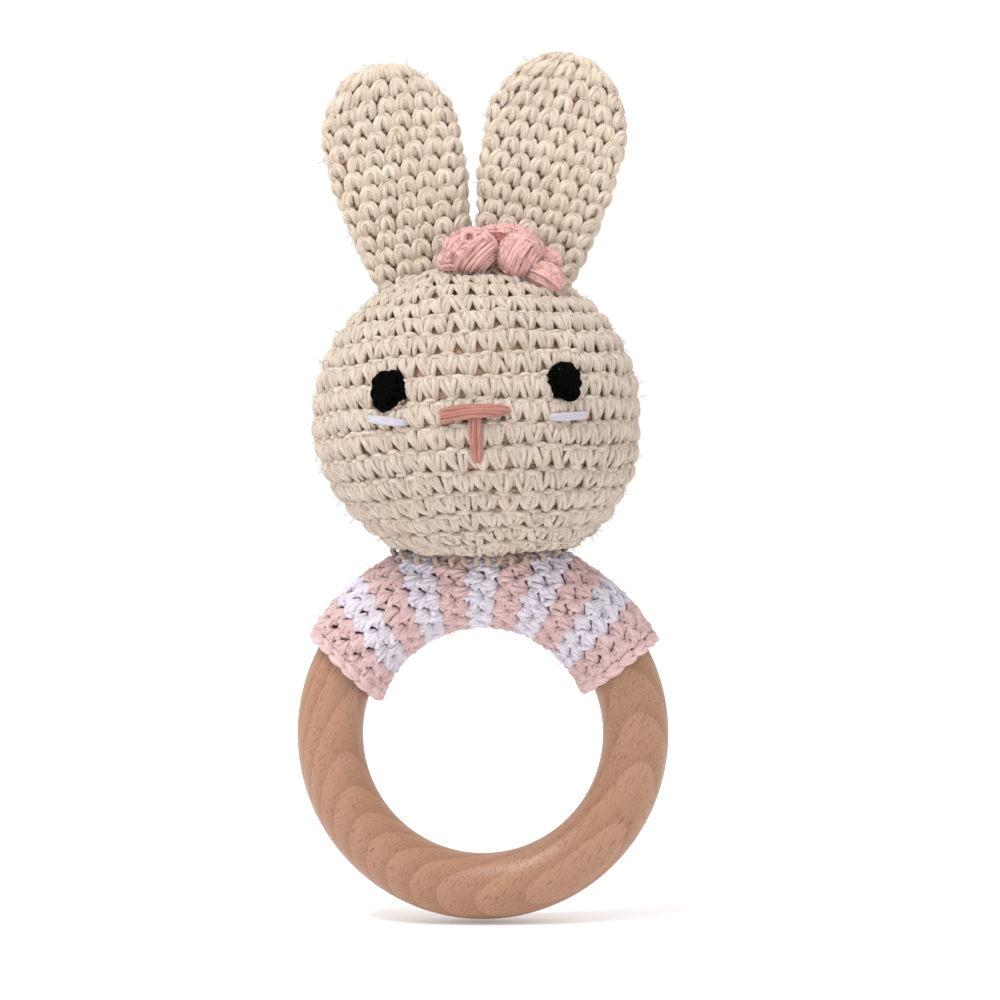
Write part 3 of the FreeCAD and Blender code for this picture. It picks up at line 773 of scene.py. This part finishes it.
def eyeDome(eye):
    # what the strands are laid over, so that none of the face shows between them
    rim = np.array(eye["outline"] + eye["outline"][:1])
    rows = []
    for share, height in ((0.92, -0.8), (0.88, 0.25), (0.68, 1.0), (0.40, 1.4), (0.05, 1.55)):
        line = smoothPath(rim * share, 41)[:-1]
        rows.append(onFace(eye["at"][0] + line[:, 0], eye["at"][1] + line[:, 1], np.full(40, height))[0])
    return np.array(rows)


for name in ("left", "right"):
    eye = eyeShape[name]
    eyeSkein = Skein(sides=8)
    rim = np.array(eye["outline"])
    n = len(rim)
    for i in range(n):
        # from the rim in over the middle, then along the rim, then across
        outer = rim[i] * 0.92
        far = -rim[i] * 0.15 + rng.normal(0, 0.35, 2)
        points = [(outer[0], outer[1], -0.5), (outer[0] * 0.86, outer[1] * 0.86, 0.35),
                  (outer[0] * 0.45, outer[1] * 0.45, eyeShape["dome"] * 0.8 + rng.uniform(-0.1, 0.2)),
                  (far[0], far[1], 0.9)]
        eyeSkein.lay(*eyeStrand(eye, points, eyeShape["yarn"] * rng.uniform(0.9, 1.15)))
        nextOuter = (rim[i] + rim[(i + 1) % n]) / 2 * 0.88
        points = [(outer[0] * 0.95, outer[1] * 0.95, -0.3), (nextOuter[0], nextOuter[1], 0.55),
                  (rim[(i + 1) % n][0] * 0.87, rim[(i + 1) % n][1] * 0.87, -0.3)]
        eyeSkein.lay(*eyeStrand(eye, points, eyeShape["yarn"] * 0.95))
        points = [(outer[0] * 0.62, outer[1] * 0.62, 0.4), (nextOuter[0] * 0.5, nextOuter[1] * 0.5, 1.15),
                  (rim[(i + 3) % n][0] * 0.45, rim[(i + 3) % n][1] * 0.45, 0.7)]
        eyeSkein.lay(*eyeStrand(eye, points, eyeShape["yarn"]))
    dome = gridPiece("eyeDome" + name.capitalize(), eyeDome(eye), blackFill.material)
    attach(dome, "head")
    piece = eyeSkein.make("eye" + name.capitalize(), blackYarn)
    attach(piece, "head")
    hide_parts("eye_" + name)


def embroider(name, look, node, strands, samples=14):
    # strands: given points of (x, z, height, radius) on the face
    skein = Skein(sides=8)
    for points in strands:
        p = smoothPath(points, samples)
        centres, normals = onFace(p[:, 0], p[:, 1], p[:, 2])
        skein.lay(centres[None], normals[None], p[None, :, 3])
    piece = skein.make(name, look)
    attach(piece, "head")
    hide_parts(node)


# middle, half length, slope, thickness and how far the strands part at the outer end
cheeks = {
    "left": (16.3, 59.0, 3.5, -0.09, 0.36, 0.08),
    "right": (-15.5, 58.5, 3.6, 0.16, 0.42, 0.36),
}
for name, (x, z, half, slope, thin, part) in cheeks.items():
    strands = []
    for spread in (-1, 0, 1):
        strands.append([
            (x - half, z + slope * half + spread * part, -0.5, 0.30),
            (x - half * 0.8, z + slope * half * 0.8 + spread * 0.34, 1.05, thin),
            (x, z + spread * 0.36, 1.25, thin + 0.03),
            (x + half * 0.8, z - slope * half * 0.8 + spread * 0.20, 1.05, thin),
            (x + half, z - slope * half + spread * 0.05, -0.5, 0.25)])
    embroider("cheek" + name.capitalize(), whiteThread, "cheek_stitch_" + name, strands)

noseShape = {"left": -6.2, "right": 6.3, "top": 59.9, "strands": 9, "yarn": 0.29}
noseStrands = []
for i in range(noseShape["strands"]):
    share = i / (noseShape["strands"] - 1)
    leftZ = noseShape["top"] - 2.3 * share + rng.normal(0, 0.08)
    rightZ = noseShape["top"] - 0.05 - 1.5 * share + rng.normal(0, 0.08)
    left = noseShape["left"] + (0.9 if i == 0 else 0.0) + rng.uniform(-0.2, 0.3)
    right = noseShape["right"] - 2.4 * max(0.0, share - 0.55) / 0.45 + rng.uniform(-0.3, 0.1)
    lift = 1.25 + 0.28 * (i % 2) + 0.2 * math.sin(math.pi * share)
    noseStrands.append([
        (left, leftZ, -0.4, 0.22), (left + 0.9, leftZ + 0.02, lift - 0.3, noseShape["yarn"]),
        ((left + right) / 2, (leftZ + rightZ) / 2 + 0.25, lift, noseShape["yarn"] + 0.05),
        (right - 0.9, rightZ, lift - 0.2, noseShape["yarn"]), (right, rightZ - 0.05, -0.4, 0.22)])
embroider("nose", flossYarn, "nose_stitches", noseStrands)
mouthShape = {"across": (-0.95, -0.5, 0.0, 0.45, 0.9), "top": 58.6, "bottom": 50.3, "yarn": 0.31}
mouthStrands = []
for i, x in enumerate(mouthShape["across"]):
    low = x * 0.62 + 0.05
    lift = 1.15 + 0.25 * (i % 2)
    mouthStrands.append([(x, mouthShape["top"], 0.9, 0.26),
                         (x + rng.normal(0, 0.06), 56.5, lift, mouthShape["yarn"]),
                         ((x + low) / 2 + rng.normal(0, 0.08), 54.0, lift + 0.05, mouthShape["yarn"]),
                         (low, mouthShape["bottom"] + 1.0, lift - 0.1, 0.28),
                         (low * 0.9, mouthShape["bottom"], -0.5, 0.2)])
embroider("mouth", flossYarn, "mouth_stitches", mouthStrands)
print("face: stitched")

# the flower: domed petals of loose strands over fillings coloured with painted shade
roseYarn = yarnLook("roseYarn", rgb(238, 190, 184), rgb(206, 134, 126), plies=2, twist=0.3, grooveShadeAndBump=0.08,
                    fibre=0.26, sheen=0.4)
# upright place, right and up half sizes, how deep it is, the way its strands lie and its turn in degrees
petals = [
    {"at": (6.2, -5.5, 92.2), "half": (6.2, 3.0), "deep": 3.6, "lie": 4, "tilt": -6},
    {"at": (-0.6, -10.8, 89.9), "half": (5.1, 4.3), "deep": 4.4, "lie": 38, "tilt": 12},
    {"at": (8.5, -10.6, 88.9), "half": (4.0, 4.3), "deep": 4.6, "lie": 62, "tilt": -4},
    {"at": (13.4, -8.0, 87.9), "half": (3.0, 2.6), "deep": 3.8, "lie": 20, "tilt": -25},
    {"at": (13.0, -11.0, 84.9), "half": (3.9, 2.6), "deep": 3.6, "lie": -6, "tilt": -28},
    {"at": (-3.6, -9.8, 88.4), "half": (3.0, 2.4), "deep": 4.0, "lie": -24, "tilt": 20},
]
flowerHeart = {"at": (4.2, -8.6, 89.4), "half": (4.6, 4.2), "deep": 3.4, "tilt": -10}
flowerHole = {"at": (-0.75, -15.0, 92.1), "half": 0.8}


def onPetal(petal, a, b, rise):
    # a place on the domed petal, a and b run from -1 to 1
    tilt = math.radians(petal["tilt"])
    right = np.array([math.cos(tilt), 0, math.sin(tilt)])
    up = np.array([-math.sin(tilt), -0.12, math.cos(tilt)])
    out = unit(np.cross(up, right))
    out = out if out[1] < 0 else -out
    dome = np.sqrt(np.clip(1 - a * a - b * b, 0, 1)) * petal["deep"]
    place = (np.array(petal["at"]) + right * (a * petal["half"][0])[..., None]
             + up * (b * petal["half"][1])[..., None] + out * (dome + rise)[..., None])
    return turned(place), turned(np.broadcast_to(out, place.shape))


def petalDome(name, petal, look, scale=0.9, lower=0.6):
    turns = np.linspace(0, 2 * math.pi, 32, endpoint=False)
    backRows, frontRows = 6, 9      # the first rows close the back of the petal
    shares = np.concatenate([np.linspace(0.04, 0.96, backRows), np.linspace(0.999, 0.04, frontRows)])
    turnGrid, shareGrid = np.meshgrid(turns, shares)
    behind = np.arange(backRows + frontRows)[:, None] < backRows
    dome = np.sqrt(1 - (shareGrid * scale) ** 2) * petal["deep"]
    grid, _ = onPetal(petal, shareGrid * np.cos(turnGrid) * scale, shareGrid * np.sin(turnGrid) * scale,
                      np.where(behind, -1.45 * dome, -lower))
    piece = gridPiece(name, grid, look.material)
    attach(piece, "head")


# painted shade: the fillings under the strands are coloured darker than the yarn
roseShadeFill = Look("roseShadeFill", roughness=0.95)
roseShadeFill.wear(Base_Color=roseShadeFill.mix(roseShadeFill.noise(900, 2.0), rgb(206, 140, 132), rgb(186, 112, 104)))
# painted shade: a dark red dome behind the petals' middle and inside the small hole
heartShadeLook = Look("roseHeartShade", roughness=0.95)
heartShadeLook.wear(Base_Color=heartShadeLook.mix(heartShadeLook.noise(900, 2.0), rgb(160, 84, 78), rgb(124, 60, 54)))
roseSkein = Skein(sides=8)
strandSpacing = 0.52
for number, petal in enumerate(petals):
    for layer, swing in ((0, 0), (1, 24)):
        lie = math.radians(petal["lie"] + swing)
        count = int(2 * min(petal["half"]) / strandSpacing)
        for i in range(count):
            offset = -0.93 + 1.86 * i / (count - 1) + rng.normal(0, 0.025)
            reach = math.sqrt(max(0.05, 1 - offset * offset)) * rng.uniform(0.95, 1.03)
            t = np.linspace(-1, 1, 14)
            side = offset + rng.normal(0.10, 0.04) * (1 - t * t) * (1 - abs(offset)) * 2
            a = math.cos(lie) * t * reach - math.sin(lie) * side
            b = math.sin(lie) * t * reach + math.cos(lie) * side
            rise = rng.normal(0, 0.16) - 0.45 * layer + 0.12 * np.sin(t * 5 + i) - 0.25 * t ** 8
            centres, normals = onPetal(petal, a, b, rise)
            # painted shade: the lower layer of strands is painted darker than the one over it
            roseSkein.lay(centres[None], normals[None], (0.38 - 0.10 * t ** 6)[None],
                          np.full((1, 14), 0.12 * layer), toneShift=-0.1 * layer)
    for scale, first, last in ((0.93, -30, 215), (0.80, 10, 170)):      # stitch tops that run round the edge
        angle = np.radians(np.linspace(first, last, 40) + petal["lie"] * 0.4)
        wave = 0.03 * np.sin(angle * 9)
        centres, normals = onPetal(petal, np.cos(angle) * (scale + wave), np.sin(angle) * (scale + wave),
                                   0.28 + 0.12 * np.sin(angle * 13))
        roseSkein.lay(centres[None], normals[None], np.full((1, 40), 0.40))
    petalDome("petalShadeFill%d" % (number + 1), petal, roseShadeFill)
petalDome("flowerHeart", flowerHeart, heartShadeLook, 1.0, 0.0)
# a curled loop round the small hole in one petal
angle = np.linspace(0, 2 * math.pi, 30)
x, y, z = flowerHole["at"]
curl = np.stack([x + 1.15 * np.cos(angle), y + 0.3 + 0.15 * np.sin(angle), z + 1.05 * np.sin(angle)], -1)
roseSkein.lay(turned(curl)[None], turned(np.broadcast_to(np.array([0, -1.0, 0]), curl.shape))[None],
              np.full((1, 30), 0.44))
# painted shade: a dark dome fills the hole
holePetal = {"at": (x, y + 0.55, z), "half": (flowerHole["half"], flowerHole["half"]), "deep": 0.3, "tilt": 0}
petalDome("flowerHole", holePetal, heartShadeLook, 1.0, 0.0)
rose = roseSkein.make("flower", roseYarn)
roseFuzz = roseSkein.fuzz(1500, 1.5, 0.045).make("flowerFuzz", roseYarn)
for piece in (rose, roseFuzz):
    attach(piece, "head")
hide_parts(*["flower_petal_%d" % i for i in range(1, 6)], "flower_centre")
print("flower:", len(rose.data.polygons), "faces")

# the wooden ring keeps its CAD shape, and only gets its grain here
beech = Look("beechWood", roughness=0.42, Coat_Weight=0.12, Coat_Roughness=0.35)
place = beech.spot()
grain = beech.add("ShaderNodeVectorRotate", {"rotation_type": "Y_AXIS"},
                  {"Vector": place, "Angle": math.radians(-33)})
gx, gy, gz = beech.split(grain)      # gz runs along the grain
warp = beech.noise(38.0, 2.0, grain)
px, py, pz = beech.split(place)
layers = ((py + pz * 0.35 - px * 0.40 + px * px * 4.0 + (warp - 0.5) * 0.0022) / 0.0032).wrap()
fleckSpace = beech.add("ShaderNodeCombineXYZ", {}, {0: gx * 4200.0, 1: gy * 4200.0, 2: gz * 430.0})
flecks = beech.ramp(beech.noise(1.0, 1.0, fleckSpace, 0.4), 0.60, 0.69)
fineSpace = beech.add("ShaderNodeCombineXYZ", {}, {0: gx * 5200.0, 1: gy * 5200.0, 2: gz * 160.0})
fine = beech.noise(1.0, 3.0, fineSpace)
broad = beech.noise(60.0, 2.0)
late = ((1.0 - layers) ** 1.5) * 0.52 * beech.ramp(layers, 0.0, 0.06) + 0.08
pale = beech.mix(late + (broad - 0.5) * 0.4 + (fine - 0.5) * 0.5 + 0.05, rgb(164, 122, 95), rgb(132, 90, 65))
woodColour = beech.mix(flecks * 0.55, pale, rgb(98, 62, 42))
beech.wear(Base_Color=woodColour, Roughness=0.36 + fine * 0.16,
           Normal=beech.bump(fine * 0.4 - flecks * 1.0, 0.00006, 0.5))
frame["nodes"]["wooden_ring"].data.materials.clear()
frame["nodes"]["wooden_ring"].data.materials.append(beech.material)
print("wooden ring: grained")

# what the head holds keeps its CAD shape
plastic = Look("capsulePlastic", roughness=0.3)
plastic.wear(Base_Color=plastic.mix(plastic.noise(120.0, 2.0), rgb(226, 228, 230), rgb(238, 240, 242)),
             Normal=plastic.bump(plastic.noise(800.0, 2.0), 0.00003, 0.3))
beadLook = Look("beadPlastic", roughness=0.25)
beadLook.wear(Base_Color=beadLook.mix(beadLook.noise(200.0, 2.0), rgb(110, 150, 190), rgb(130, 168, 204)))
fill = Look("fibreFill", roughness=1.0)
fill.wear(Base_Color=fill.mix(fill.noise(700.0, 4.0), rgb(226, 224, 220), rgb(246, 245, 243)),
          Normal=fill.bump(fill.noise(1400.0, 4.0), 0.0006, 0.9))
inner = {"head_stuffing": fill, "rattle_capsule_upper": plastic, "rattle_capsule_lower": plastic}
inner.update({"rattle_bead_%d" % i: beadLook for i in range(1, 6)})
for node, look in inner.items():
    frame["nodes"][node].data.materials.clear()
    frame["nodes"][node].data.materials.append(look.material)
print("inside the head:", len(inner), "pieces")

# a pale floor just under the ring, in metres
floor = {"radius": 3.0, "sides": 96, "under": 0.0006}
floorZ = cadBox[0][2] - floor["under"]
floorLook = Look("paleFloor", roughness=0.9, Emission_Color=(1, 1, 1, 1), Emission_Strength=0.14)
floorLook.wear(Base_Color=floorLook.mix(floorLook.noise(8.0, 2.0), rgb(247, 247, 247), rgb(250, 250, 250)))
floorMesh = bpy.data.meshes.new("floor")
floorTurns = [2 * math.pi * i / floor["sides"] for i in range(floor["sides"])]
floorRim = [(-floor["radius"] * math.sin(a), floor["radius"] * math.cos(a), 0) for a in floorTurns]
floorMesh.from_pydata(floorRim, [], [list(range(floor["sides"]))])
floorMesh.update()
floorDisc = newPiece("floor", floorMesh, floorLook.material)
floorDisc.location = (0, 0, floorZ)

world = bpy.data.worlds.new("studio")
bpy.context.scene.world = world
world.use_nodes = True
world.node_tree.nodes["Background"].inputs["Color"].default_value = (1, 1, 1, 1)
world.node_tree.nodes["Background"].inputs["Strength"].default_value = 1.0

# one soft lamp, high in front and to one side
light = {"place": (-0.32, -0.42, 0.92), "aim": (0, 0, 0.045), "size": 0.40, "power": 7.6}
lampData = bpy.data.lights.new("key", "AREA")
lampData.size = light["size"]
lampData.energy = light["power"]
lamp = bpy.data.objects.new("key", lampData)
bpy.context.scene.collection.objects.link(lamp)
lamp.location = light["place"]
aim = np.array(light["aim"]) - np.array(light["place"])
lamp.rotation_euler = (math.atan2(math.hypot(aim[0], aim[1]), -aim[2]), 0,
                       math.atan2(aim[0], -aim[1]) + math.pi)
bpy.context.scene.view_settings.view_transform = "Standard"
print("floor and light: set")
